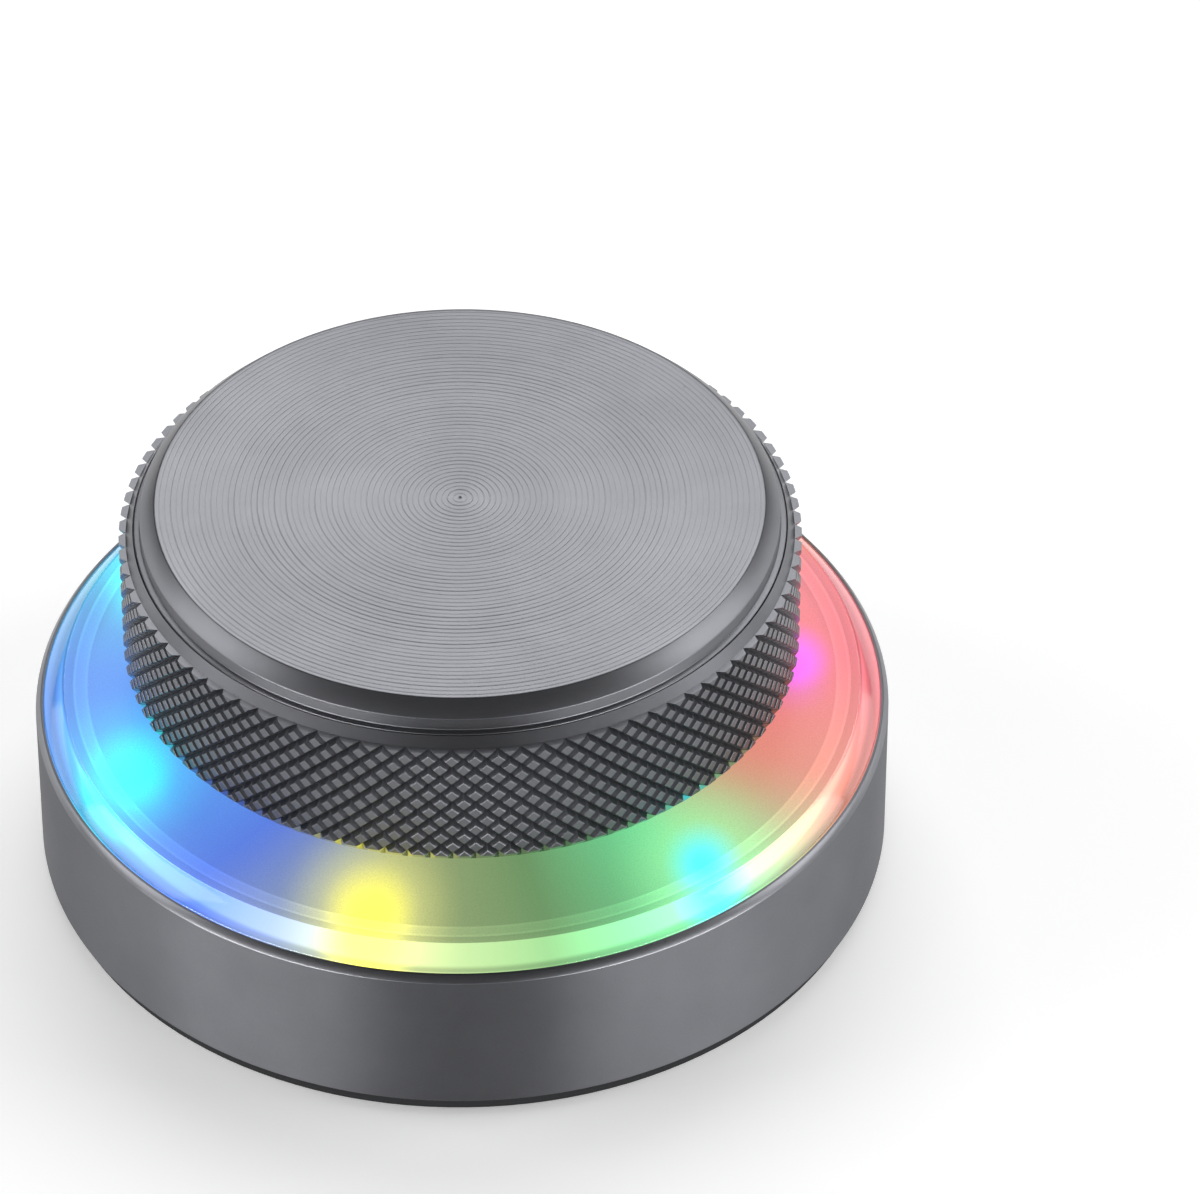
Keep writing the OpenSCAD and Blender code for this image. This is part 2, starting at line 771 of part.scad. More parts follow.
// Level strip over a top half diamond, and the bevel under a lowest one
function end_faces(i) =
    let (l = left_at(i, knurl_top_k), a = crossing_at(i, knurl_top_k), b = crossing_at(i + 1, knurl_top_k),
         m = left_at(i, 0), c = crossing_at(i, 0), d = crossing_at(i + 1, 0))
    [[a, b, l + 1, l], [a, well_at(i), well_at(i + 1), b], [1, well_at(i + 1), well_at(i)],
     [c, m, bottom_at(i)], [m, m + 1, bottom_at(i + 1), bottom_at(i)], [m + 1, d, bottom_at(i + 1)],
     [0, bottom_at(i), bottom_at(i + 1)]];

// Closed drum with the knurl round it
module knurled_drum() {
    rounds = [0 : knurl_starts - 1];
    rows = [0 : knurl_top_k];
    points = concat(
        [[0, 0, dial_z], [0, 0, on_cone(well_r)]],
        [for (i = rounds) turned(2 * i * half_turn, [knurl_floor, 0, dial_z])],
        [for (i = rounds) turned(2 * i * half_turn, [well_r, 0, on_cone(well_r)])],
        [for (k = rows) for (i = rounds) crossing(i, k)],
        [for (k = rows) for (i = rounds) for (side = [-1, 1]) flat_corner(i, k, side * flat_w, 0)],
        [for (k = rows) for (side = [-1, 1]) if (k + side >= 0 && k + side <= knurl_top_k)
            for (i = rounds) flat_corner(i, k, 0, side * flat_h)]);
    faces = concat(
        [for (k = rows) for (i = rounds) flat_face(i, k)],
        [for (k = rows) for (up = [false, true]) if (up ? k < knurl_top_k : k > 0)
            for (i = rounds) each groove_walls(i, k, up)],
        [for (i = rounds) each end_faces(i)]);
    polyhedron(points, faces);
}

module knurled_ring() {
    color("#505155") difference() {
        knurled_drum();
        translate([0, 0, dial_z - cut_over]) cylinder(r = drum_r, h = face_z);
        translate([0, 0, ledge_z - flange_h]) cylinder(r = flange_r + glass_fit, h = face_z);
    }
}

base_ring();
rubber_foot();
bottom_cover();
cover_screws();
light_ring();
diffuser_ring();
light_chamber();
leds();
main_board();
controller_chip();
crystal_can();
charge_chip();
battery();
battery_pad();
battery_leads();
battery_socket();
usb_c_shell();
usb_c_tongue();
power_switch_body();
power_switch_slider();
center_deck();
board_screws();
encoder_base();
encoder_pins();
encoder_frame();
encoder_washer();
encoder_nut();
detent_spring();
switch_dome();
switch_plunger();
encoder_rotor();
encoder_shaft();
knob_hub();
hub_screws();
knob_cap();
knurled_ring();
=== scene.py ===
# %% [markdown]
# # A desk dial with a lit ring
# The object is a round desk controller: a knurled aluminium dial floats over a ring of lit acrylic
# on a turned aluminium base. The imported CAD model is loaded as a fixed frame. It already has every
# piece in its place, so this lesson only dresses what the eye meets: finer meshes for the four big
# turned pieces, and a finish for every piece.

# %% Load the frame
import math
import random

import bmesh
import bpy
from mathutils import Matrix, Vector


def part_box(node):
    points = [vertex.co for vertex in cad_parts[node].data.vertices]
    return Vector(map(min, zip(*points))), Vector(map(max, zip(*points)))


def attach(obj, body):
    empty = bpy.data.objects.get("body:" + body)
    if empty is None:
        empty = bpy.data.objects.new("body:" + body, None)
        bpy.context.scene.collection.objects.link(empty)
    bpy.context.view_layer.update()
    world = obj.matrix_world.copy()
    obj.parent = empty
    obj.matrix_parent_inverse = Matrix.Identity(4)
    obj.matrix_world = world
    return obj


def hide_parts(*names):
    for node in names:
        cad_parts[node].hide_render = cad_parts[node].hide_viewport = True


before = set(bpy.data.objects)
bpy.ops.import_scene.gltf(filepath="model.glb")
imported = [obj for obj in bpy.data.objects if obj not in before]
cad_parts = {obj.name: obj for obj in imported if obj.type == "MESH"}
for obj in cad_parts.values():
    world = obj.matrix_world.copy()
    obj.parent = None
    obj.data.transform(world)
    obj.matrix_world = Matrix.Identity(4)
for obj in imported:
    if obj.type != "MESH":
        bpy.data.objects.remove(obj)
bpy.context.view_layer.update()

MM = 0.001

# %% [markdown]
# ## Camera
# The view is a long lens from above the front edge. A camera was solved from the round rims, so the
# place, the turn and the lens below put each rim where the eye expects it. A camera's own axes are
# the columns of its matrix: right, up, and backwards, which is why the looking direction enters
# with a minus.

# %% Camera
CAMERA_PLACE = Vector((0.0, -0.5432, 0.4865))
CAMERA_PITCH, CAMERA_YAW, CAMERA_ROLL = (math.radians(a) for a in (40.17, 1.36, 0.15))
CAMERA_LENS = 229.5
CAMERA_SENSOR = 36.0

looking = Vector((math.sin(CAMERA_YAW) * math.cos(CAMERA_PITCH),
                  math.cos(CAMERA_YAW) * math.cos(CAMERA_PITCH), -math.sin(CAMERA_PITCH)))
level_right = Vector((math.cos(CAMERA_YAW), -math.sin(CAMERA_YAW), 0.0))
level_up = level_right.cross(looking)
right = math.cos(CAMERA_ROLL) * level_right + math.sin(CAMERA_ROLL) * level_up
up = math.cos(CAMERA_ROLL) * level_up - math.sin(CAMERA_ROLL) * level_right

camera = bpy.data.objects.new("camera", bpy.data.cameras.new("camera"))
camera.data.lens = CAMERA_LENS
camera.data.sensor_width = CAMERA_SENSOR
camera_turn = Matrix((right, up, -looking)).transposed().to_4x4()
camera.matrix_world = Matrix.Translation(CAMERA_PLACE) @ camera_turn
bpy.context.scene.collection.objects.link(camera)
bpy.context.scene.camera = camera
print("camera at", [round(x, 4) for x in camera.location], "lens", camera.data.lens)

# %% [markdown]
# ## Small helpers for finishes
# Colours are written as sRGB hex, the way a paint chart gives them, and the shader wants linear
# light, so one function converts them. One more adds a node: its settings, then its inputs, where a
# socket is linked and a value is set. The third starts a finish: one Principled shader, which every
# material here is built on.

# %% Helpers for finishes
def linear(hex_colour):
    """Linear RGBA of an sRGB hex colour."""
    channels = [int(hex_colour[i:i + 2], 16) / 255 for i in (1, 3, 5)]
    levels = [c / 12.92 if c <= 0.04045 else ((c + 0.055) / 1.055) ** 2.4 for c in channels]
    return (*levels, 1.0)


def add(tree, kind, settings=(), inputs=()):
    """Add a node of this kind, with its settings and its inputs, and give the node back."""
    node = tree.nodes.new(kind)
    for name, value in dict(settings).items():
        setattr(node, name, value)
    for name, value in dict(inputs).items():
        if isinstance(value, bpy.types.NodeSocket):
            tree.links.new(value, node.inputs[name])
        else:
            node.inputs[name].default_value = value
    return node


def new_finish(name):
    """A named material: gives the material, its tree, its shader and Object coordinates."""
    material = bpy.data.materials.new(name)
    material.use_nodes = True
    tree = material.node_tree
    tree.nodes.clear()
    shader = add(tree, "ShaderNodeBsdfPrincipled")
    add(tree, "ShaderNodeOutputMaterial", inputs={"Surface": shader.outputs["BSDF"]})
    return material, tree, shader, add(tree, "ShaderNodeTexCoord").outputs["Object"]


# %% [markdown]
# ## Anodised aluminium
# The dial and the base are turned from aluminium bar, blasted to a satin and dyed gunmetal grey in
# the anodising bath. The lathe leaves marks that run round the axis, so a light smears out across
# them: up and down on a wall, and outward from the middle on the face. That is anisotropy with a
# tangent that runs round Z, turned by a quarter. The blasting gives a fine grain of about a tenth
# of a millimetre, drawn as noise in the roughness and a very faint bump.

# %% Anodised aluminium
GRAIN_PER_METRE = 1 / (0.12 * MM)
GRAIN_RELIEF, GRAIN_HEIGHT = 0.06, 0.02 * MM
CLOUD_PER_METRE = 1 / (9 * MM)
CLOUD_DARK, CLOUD_LIGHT = 0.94, 1.06
QUARTER_TURN = 0.25


def anodised(name, colour, roughness, anisotropy, grain):
    """Satin anodised aluminium. The grain varies its roughness, and lathe marks run round Z."""
    material, tree, shader, place = new_finish(name)
    clouds = add(tree, "ShaderNodeTexNoise",
                 inputs={"Vector": place, "Scale": CLOUD_PER_METRE, "Detail": 3.0})
    blast = add(tree, "ShaderNodeTexNoise",
                inputs={"Vector": place, "Scale": GRAIN_PER_METRE, "Detail": 2.0})
    tone = add(tree, "ShaderNodeMapRange",
               inputs={"Value": clouds.outputs["Fac"], "From Min": 0.3, "From Max": 0.7,
                       "To Min": CLOUD_DARK, "To Max": CLOUD_LIGHT})
    shade = add(tree, "ShaderNodeVectorMath", {"operation": "SCALE"},
                {0: linear(colour)[:3], "Scale": tone.outputs["Result"]})
    satin = add(tree, "ShaderNodeMapRange",
                inputs={"Value": blast.outputs["Fac"], "From Min": 0.25, "From Max": 0.75,
                        "To Min": roughness - grain, "To Max": roughness + grain})
    bump = add(tree, "ShaderNodeBump",
               inputs={"Height": blast.outputs["Fac"], "Strength": GRAIN_RELIEF,
                       "Distance": GRAIN_HEIGHT})
    tree.links.new(shade.outputs["Vector"], shader.inputs["Base Color"])
    tree.links.new(satin.outputs["Result"], shader.inputs["Roughness"])
    tree.links.new(bump.outputs["Normal"], shader.inputs["Normal"])
    shader.inputs["Metallic"].default_value = 1.0
    if anisotropy:
        tangent = add(tree, "ShaderNodeTangent", {"direction_type": "RADIAL", "axis": "Z"})
        tree.links.new(tangent.outputs["Tangent"], shader.inputs["Tangent"])
        shader.inputs["Anisotropic"].default_value = anisotropy
        shader.inputs["Anisotropic Rotation"].default_value = QUARTER_TURN
    return material


# Colour, roughness, anisotropy and grain. The base wall is the dullest and shows soft upright
# bands. The face has a wide sheen, and the bevels and the grip a closer one. The rim is painted a
# little lighter than the wall, a painted highlight. The grooves of the grip are painted lighter than
# its flats, as painted light in the deep grooves, and the flats a little darker, as painted shade.
# The lower end of the grip is painted much lighter, so that the ring's light shows brighter on it:
# a painted highlight.
base_metal = anodised("anodised_base_satin", "#727377", 0.55, 0.9, 0.05)
cap_metal = anodised("anodised_cap_turned", "#727377", 0.32, 0.3, 0.05)
side_metal = anodised("anodised_cap_sides", "#747579", 0.38, 0.0, 0.05)
# The rim's lighter colour is a painted highlight; its lower roughness is its own finish
rim_painted_highlight = anodised("anodised_base_rim_painted_highlight", "#7a7b7f", 0.32, 0.0, 0.05)
# The flats are painted a little darker and the grooves lighter than the dial's metal: painted shade
# and painted light
grip_metal = anodised("anodised_grip_flats", "#6c6d71", 0.34, 0.0, 0.05)
groove_painted_light = anodised("anodised_grip_grooves_painted_light", "#7a7b7f", 0.34, 0.0, 0.05)
# The lower bevel of the grip is painted much lighter, a painted highlight of the ring's light on it
bevel_painted_highlight = anodised("aluminium_bevel_painted_highlight", "#b8b9bc", 0.22, 0.0, 0.04)
print("anodised base", base_metal.name, rim_painted_highlight.name, "cap", cap_metal.name, side_metal.name)
print("anodised grip", grip_metal.name, groove_painted_light.name, bevel_painted_highlight.name)

# %% [markdown]
# ## Light of the ring
# Seven lights sit in a white chamber under the ring. Each shows as a soft spot in its own colour,
# and between the lights their colours mix. A ramp over the turn round Z gives the mixed glow, and
# each light then mixes its halo and its spot in, by the distance from the spot's middle. The spots
# are longer from front to back than across. The film under the ring and the ring's blasted top both
# take their colour from here, so the two layers agree.

# %% Light of the ring
# Seven lights, anticlockwise from above: degrees from the right, then distance from Z, half width
# and width of the halo in millimetres, then the colours of the spot, its halo, the glow there and
# the glow halfway to the next light
LIGHTS = [(-157.3, 33.4, 3.0, 5.6, "#20f4ff", "#38d8ff", "#4a9cf2", "#4670dc"),
          (-104.9, 33.4, 3.0, 6.0, "#fff856", "#f8f48c", "#9aa26c", "#5c8a50"),
          (-50.5, 34.2, 2.2, 7.4, "#30f4ff", "#a8ffa8", "#60d890", "#dc8670"),
          (3.0, 31.4, 2.0, 2.0, "#e850ff", "#f060c8", "#f06c78", "#f07c84"),
          (49.4, 33.4, 3.0, 4.0, "#ffb45e", "#ffb45e", "#ff9f50", "#e86c9e"),
          (100.9, 33.4, 3.0, 4.0, "#d060ff", "#d060ff", "#a870f0", "#6f74f0"),
          (152.3, 33.4, 3.4, 4.0, "#40ecff", "#40e0ff", "#4cb4e0", "#4a90f0")]
SPOT_STRETCH = 1.45
VEIL = 0.05


def ramp_of(tree, value, stops, interpolation):
    """A colour ramp between the first stop and the last, from stops of (value, hex colour)."""
    low, high = stops[0][0], stops[-1][0]
    share = add(tree, "ShaderNodeMapRange",
                inputs={"Value": value, "From Min": low, "From Max": high})
    ramp = add(tree, "ShaderNodeValToRGB", inputs={"Fac": share.outputs["Result"]})
    ramp.color_ramp.interpolation = interpolation
    marks = ramp.color_ramp.elements
    marks[0].color, marks[1].color = linear(stops[0][1]), linear(stops[-1][1])
    for at, colour in stops[1:-1]:
        marks.new((at - low) / (high - low)).color = linear(colour)
    return ramp.outputs["Color"]


def ring_light(tree, place, dim, blur, halo_share):
    """Sockets of the ring's light at a place and of the distance from Z in millimetres. The glow is
    dimmed against the spots, and the edge of a spot is blurred over that many millimetres."""
    here = add(tree, "ShaderNodeVectorMath", {"operation": "MULTIPLY"},
               {0: place, 1: (1 / MM, 1 / MM, 0.0)}).outputs["Vector"]
    reach = add(tree, "ShaderNodeVectorMath", {"operation": "LENGTH"}, {0: here}).outputs["Value"]
    parts = add(tree, "ShaderNodeSeparateXYZ", inputs={"Vector": here})
    turn = add(tree, "ShaderNodeMath", {"operation": "ARCTAN2"},
               {0: parts.outputs["Y"], 1: parts.outputs["X"]})
    degrees = add(tree, "ShaderNodeMath", {"operation": "DEGREES"}, {0: turn.outputs["Value"]})
    # The ramp starts and ends at the seam behind, halfway between the last light and the first
    bearings = [row[0] for row in LIGHTS]
    halfway = [(a + b) / 2 for a, b in zip(bearings, bearings[1:] + [bearings[0] + 360])]
    stops = [(-180, LIGHTS[-1][-1])]
    for row, middle in zip(LIGHTS, halfway):
        stops += [(row[0], row[-2]), (min(middle, 180), row[-1])]
    glow = ramp_of(tree, degrees.outputs["Value"], stops, "LINEAR")
    light = add(tree, "ShaderNodeVectorMath", {"operation": "SCALE"},
                {0: glow, "Scale": dim}).outputs["Vector"]
    for bearing, circle, half, halo, spot_colour, halo_colour, _, _ in LIGHTS:
        middle = (circle * math.cos(math.radians(bearing)),
                  circle * math.sin(math.radians(bearing)), 0.0)
        offset = add(tree, "ShaderNodeVectorMath", {"operation": "SUBTRACT"}, {0: here, 1: middle})
        offset = add(tree, "ShaderNodeVectorMath", {"operation": "MULTIPLY"},
                     {0: offset.outputs["Vector"], 1: (1.0, 1 / SPOT_STRETCH, 0.0)})
        gap = add(tree, "ShaderNodeVectorMath", {"operation": "LENGTH"},
                  {0: offset.outputs["Vector"]})
        for soft, share, colour in ((halo, halo_share, halo_colour), (blur, 1.0, spot_colour)):
            near = add(tree, "ShaderNodeMapRange", {"interpolation_type": "SMOOTHSTEP"},
                       {"Value": gap.outputs["Value"], "From Min": half + soft,
                        "From Max": half - blur, "To Max": share})
            mix = add(tree, "ShaderNodeMix", {"data_type": "RGBA"},
                      {"Factor": near.outputs["Result"], "A": light, "B": linear(colour)})
            light = mix.outputs["Result"]
    veil = add(tree, "ShaderNodeVectorMath", {"operation": "ADD"}, {0: light, 1: (VEIL * dim,) * 3})
    return veil.outputs["Vector"], reach


# %% [markdown]
# ## Film
# The diffuser film lies under the ring. It is a matt plastic sheet that shows the lights as even
# colour, bright over the lights and darker towards the outer wall. The light that the chamber
# would scatter is not traced here, so the film gives its light by itself.

# %% Film
# Distance from Z in millimetres, and the share of the light there
FILM_SHARES = [(22.0, "#ffffff"), (35.3, "#ffffff"), (35.9, "#cccccc"), (36.9, "#909090"),
               (37.7, "#a8a8a8"), (40.0, "#808080")]
FILM_GLOW, FILM_BLUR, FILM_HALO = 1.0, 2.0, 0.2
FILM_STRENGTH = 2.7

film, tree, shader, place = new_finish("diffuser_film_lit")
light, reach = ring_light(tree, place, FILM_GLOW, FILM_BLUR, FILM_HALO)
lit = add(tree, "ShaderNodeVectorMath", {"operation": "MULTIPLY"},
          {0: light, 1: ramp_of(tree, reach, FILM_SHARES, "EASE")})
tree.links.new(lit.outputs["Vector"], shader.inputs["Emission Color"])
shader.inputs["Emission Strength"].default_value = FILM_STRENGTH
shader.inputs["Base Color"].default_value = linear("#202020")
shader.inputs["Roughness"].default_value = 0.8
print("film", film.name, "with", len(LIGHTS), "lights")

# %% [markdown]
# ## Acrylic
# The ring above the film is clear cast acrylic. Its sloping edge is polished, and from the front
# one looks through it straight at the bright part of the film, so it glows more than the top, while
# at the sides it shows the darker wall. The top is blasted and looks milky: it lets about a tenth
# of the light through, blurred, and scatters the rest, so it glows by itself. Two hair lines are
# turned in it, and the grit of the blasting gives it a fine speckle.

# %% Acrylic
ACRYLIC_IOR = 1.49
GRIT_PER_METRE = 1 / (0.16 * MM)
GRIT_HEIGHT = 0.03 * MM
# Distance from Z in millimetres, and the share of the light there: the two hair lines stand out
TOP_SHARES = [(34.0, "#b8b8b8"), (35.0, "#b8b8b8"), (35.1, "#dcdcdc"), (35.25, "#dcdcdc"),
              (35.35, "#d4d4d4"), (36.1, "#d4d4d4"), (36.2, "#e6e6e6"), (36.35, "#e6e6e6"),
              (36.45, "#c0c0c0"), (37.4, "#d0d0d0")]
TOP_GLOW, TOP_BLUR, TOP_HALO = 0.75, 1.9, 0.6
TOP_STRENGTH = 1.75


def acrylic(name, colour, roughness, bump):
    """Acrylic that lets this colour through: gives the material, tree, shader, place and grit."""
    material, tree, shader, place = new_finish(name)
    grit = add(tree, "ShaderNodeTexNoise",
               inputs={"Vector": place, "Scale": GRIT_PER_METRE, "Detail": 2.0})
    tone = add(tree, "ShaderNodeMapRange",
               inputs={"Value": grit.outputs["Fac"], "To Min": 0.96, "To Max": 1.04})
    shade = add(tree, "ShaderNodeVectorMath", {"operation": "SCALE"},
                {0: linear(colour)[:3], "Scale": tone.outputs["Result"]})
    tree.links.new(shade.outputs["Vector"], shader.inputs["Base Color"])
    if bump:
        relief = add(tree, "ShaderNodeBump",
                     inputs={"Height": grit.outputs["Fac"], "Strength": bump,
                             "Distance": GRIT_HEIGHT})
        tree.links.new(relief.outputs["Normal"], shader.inputs["Normal"])
    shader.inputs["Transmission Weight"].default_value = 1.0
    shader.inputs["Roughness"].default_value = roughness
    shader.inputs["IOR"].default_value = ACRYLIC_IOR
    return material, tree, shader, place, grit.outputs["Fac"]


polished = acrylic("acrylic_polished_bevel", "#f6fafa", 0.1, 0.0)[0]
frosted, tree, shader, place, grit = acrylic("acrylic_blasted_top", "#262626", 0.45, 0.3)
light, reach = ring_light(tree, place, TOP_GLOW, TOP_BLUR, TOP_HALO)
lined = add(tree, "ShaderNodeVectorMath", {"operation": "MULTIPLY"},
            {0: light, 1: ramp_of(tree, reach, TOP_SHARES, "LINEAR")})
speckle = add(tree, "ShaderNodeMapRange", inputs={"Value": grit, "From Min": 0.3, "From Max": 0.7,
                                                  "To Min": 0.9, "To Max": 1.1})
glow = add(tree, "ShaderNodeVectorMath", {"operation": "SCALE"},
           {0: lined.outputs["Vector"], "Scale": speckle.outputs["Result"]})
tree.links.new(glow.outputs["Vector"], shader.inputs["Emission Color"])
shader.inputs["Emission Strength"].default_value = TOP_STRENGTH
print("acrylic", frosted.name, polished.name)

# %% [markdown]
# ## Turned pieces
# A lathe makes a piece from its outline, and so does a spin: a wire of points in the XZ plane goes
# once round Z. Real turned edges are never sharp, and the thin light line along each edge is what
# makes metal look like metal, so the edge loops at the named corners get a small bevel afterwards.

# %% Helpers for turned pieces
TURN_STEPS = 256
CLOSE = 1e-6
WELD = 1e-7


def spun(outline, closed):
    """A bmesh turned round Z from an outline of (radius, height) points in millimetres."""
    bm = bmesh.new()
    points = [bm.verts.new((r * MM, 0.0, z * MM)) for r, z in outline]
    ends = points[1:] + points[:1] if closed else points[1:]
    wire = [bm.edges.new(pair) for pair in zip(points, ends)]
    bmesh.ops.spin(bm, geom=points + wire, cent=(0, 0, 0), axis=(0, 0, 1), angle=2 * math.pi,
                   steps=TURN_STEPS, use_merge=True, use_duplicate=False)
    bmesh.ops.remove_doubles(bm, verts=bm.verts, dist=WELD)
    bmesh.ops.recalc_face_normals(bm, faces=bm.faces)
    return bm


def round_corners(bm, corners, width):
    """Bevel the edge loops that run round Z at these (radius, height) corners, in millimetres."""
    def at_corner(v):
        return any(abs(v.co.xy.length - r * MM) < CLOSE and abs(v.co.z - z * MM) < CLOSE
                   for r, z in corners)

    loops = [e for e in bm.edges if abs(e.verts[0].co.z - e.verts[1].co.z) < CLOSE
             and all(map(at_corner, e.verts))]
    bmesh.ops.bevel(bm, geom=loops, offset=width * MM, offset_type="OFFSET", segments=2,
                    profile=0.5, affect="EDGES", material=-1)


def keep(bm, name, body, finishes, replaced, sharp=28):
    """Make the bmesh a piece that rides on a CAD body and stands for a CAD node. Edges over that
    angle in degrees stay sharp."""
    mesh = bpy.data.meshes.new(name)
    bm.to_mesh(mesh)
    bm.free()
    for finish in finishes:
        mesh.materials.append(finish)
    mesh.shade_smooth()
    mesh.set_sharp_from_angle(angle=math.radians(sharp))
    piece = bpy.data.objects.new(name, mesh)
    bpy.context.scene.collection.objects.link(piece)
    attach(piece, body)
    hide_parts(replaced)
    print(name, "faces", len(mesh.polygons))
    return piece


# %% [markdown]
# ## Base wall
# The base is a plain turned wall with a bevelled rim and a thin lip that holds the acrylic. The rim
# is smoother than the wall, and a little lighter in colour as a painted highlight, so that it
# catches the light from the sides. A face's own normal tells where the rim is.

# %% Base wall
BASE_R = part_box("base_ring")[1].x / MM
BASE_IN = BASE_R - 2.4
WALL_Z, RIM_Z = (corner.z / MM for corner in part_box("base_ring"))
FOOT_BEVEL = 0.2
RIM_BEVEL_W, RIM_BEVEL_H = 0.5, 0.7
RIM_EDGE = 0.08
LIP_R = BASE_R - 0.7
SEAT_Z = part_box("light_ring")[0].z / MM

rim_corners = [(BASE_R, RIM_Z - RIM_BEVEL_H), (BASE_R - RIM_BEVEL_W, RIM_Z)]
bm = spun([(BASE_IN, WALL_Z), (BASE_R - FOOT_BEVEL, WALL_Z), (BASE_R, WALL_Z + FOOT_BEVEL),
           *rim_corners, (LIP_R, RIM_Z), (LIP_R, SEAT_Z), (BASE_IN, SEAT_Z)], True)
round_corners(bm, rim_corners, RIM_EDGE)
for face in bm.faces:
    face.material_index = int(0.3 < face.normal.z < 0.95)
base_wall = keep(bm, "base_wall", "base", [base_metal, rim_painted_highlight], "base_ring")

# %% [markdown]
# ## Slot for the charging socket
# The charging socket looks out through a slot at the rear of the wall. The slot runs across the
# turned faces, so a boolean with a slot-shaped block cuts it. The block is a cylinder whose halves
# are drawn apart.

# %% Slot for the charging socket
SOCKET_LOW, SOCKET_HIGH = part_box("usb_c_shell")
SLOT_GAP = 0.3 * MM
SLOT_DEPTH = 10 * MM
SLOT_SEGMENTS = 48


def slot_block(width, height):
    """A block along Y with round ends, in metres."""
    bm = bmesh.new()
    bmesh.ops.create_cone(bm, cap_ends=True, segments=SLOT_SEGMENTS, radius1=height / 2,
                          radius2=height / 2, depth=SLOT_DEPTH)
    bmesh.ops.rotate(bm, verts=bm.verts, cent=(0, 0, 0),
                     matrix=Matrix.Rotation(math.pi / 2, 3, "X"))
    for v in bm.verts:
        v.co.x += math.copysign((width - height) / 2, v.co.x)
    return bm


def cut(piece, bm, place):
    """Cut a block out of a piece for good, at a place in metres."""
    mesh = bpy.data.meshes.new("cutter")
    bm.to_mesh(mesh)
    bm.free()
    cutter = bpy.data.objects.new("cutter", mesh)
    cutter.location = place
    bpy.context.scene.collection.objects.link(cutter)
    boolean = piece.modifiers.new("cut", "BOOLEAN")
    boolean.object = cutter
    boolean.operation = "DIFFERENCE"
    boolean.solver = "EXACT"
    bpy.context.view_layer.update()
    old = piece.data
    evaluated = piece.evaluated_get(bpy.context.evaluated_depsgraph_get())
    piece.data = bpy.data.meshes.new_from_object(evaluated)
    piece.modifiers.clear()
    bpy.data.objects.remove(cutter)
    bpy.data.meshes.remove(old)
    piece.data.name = piece.name


socket_size = SOCKET_HIGH - SOCKET_LOW
socket_middle = (SOCKET_HIGH + SOCKET_LOW) / 2
cut(base_wall, slot_block(socket_size.x + 2 * SLOT_GAP, socket_size.z + 2 * SLOT_GAP),
    Vector((0.0, BASE_R * MM, socket_middle.z)))
print("base wall with its slot, faces", len(base_wall.data.polygons))

# %% [markdown]
# ## Acrylic ring
# The ring is one spin with three finishes: its flat top is blasted, its sloping edge is polished,
# and its underside is bonded to the lit film. A face's own normal tells which is which. The
# underside is raised by a few hundredths of a millimetre, so that it doesn't lie in the same plane
# as what it rests on.

# %% Acrylic ring
RING_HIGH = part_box("light_ring")[1]
RING_R = RING_HIGH.x / MM
RING_TOP = RING_HIGH.z / MM
RING_BORE = 23.0
RING_BEVEL_W = 1.85
RING_EDGE = 0.18
HAIR_LINE_R = 35.2
BOND = 0.03

bevel_corners = [(RING_R, RIM_Z), (RING_R - RING_BEVEL_W, RING_TOP)]
bm = spun([(RING_BORE, SEAT_Z + BOND), (RING_R, SEAT_Z + BOND), *bevel_corners,
           (HAIR_LINE_R, RING_TOP), (RING_BORE, RING_TOP)], True)
round_corners(bm, bevel_corners, RING_EDGE)
for face in bm.faces:
    if face.normal.z > 0.98:
        face.material_index = 0
    else:
        face.material_index = 2 if face.normal.z < -0.9 else 1
keep(bm, "acrylic_ring", "base", [frosted, polished, film], "light_ring")

# %% [markdown]
# ## Dial cap
# The cap is turned in one piece: a drum, a ledge, a neck, a bevel and the face. The face carries
# the marks of the turning tool: fine V grooves about half a millimetre apart and one or two
# hundredths deep, with flat land between. The two slopes of a groove send the light different ways,
# so the rings show. They are real geometry here, with a slightly different depth for each, as a
# tool leaves them. Smooth shading would blend the slopes into the land, so the edges of the grooves
# are marked sharp. The neck has the same satin as the base wall, and the bevel and the ledge gleam
# more.

# %% Dial cap
CAP_LOW, CAP_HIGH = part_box("knob_cap")
FACE_Z = CAP_HIGH.z / MM
FACE_R = 28.1
FACE_T = 3.0
FACE_SKIN = 0.1
FACE_BEVEL = 1.4
NECK_R = FACE_R + FACE_BEVEL
NECK_TOP = FACE_Z - FACE_BEVEL
LEDGE_R = CAP_HIGH.x / MM
LEDGE_Z = FACE_Z - 2.6
LEDGE_T = 1.0
DRUM_R, DRUM_IN = 28.5, 26.5
DRUM_END = CAP_LOW.z / MM
RING_PITCH = 0.53
GROOVE_W = 0.16
GROOVE_DEPTH = 0.015
PLAIN_RIM = 0.35
PIP_DEPTH = 0.08

tool = random.Random(7)
outline = [(0.0, FACE_Z - FACE_T), (DRUM_IN, FACE_Z - FACE_T), (DRUM_IN, DRUM_END),
           (DRUM_R, DRUM_END), (DRUM_R, LEDGE_Z - LEDGE_T), (LEDGE_R, LEDGE_Z - LEDGE_T),
           (LEDGE_R, LEDGE_Z), (NECK_R, LEDGE_Z), (NECK_R, NECK_TOP), (FACE_R, FACE_Z)]
ridge = FACE_R - PLAIN_RIM
outline.append((ridge, FACE_Z))
while ridge > RING_PITCH:
    outline.append((ridge - GROOVE_W / 2, FACE_Z - GROOVE_DEPTH * tool.uniform(0.75, 1.25)))
    outline.append((ridge - GROOVE_W, FACE_Z))
    ridge -= RING_PITCH
    outline.append((ridge, FACE_Z))
outline.append((0.0, FACE_Z - PIP_DEPTH))

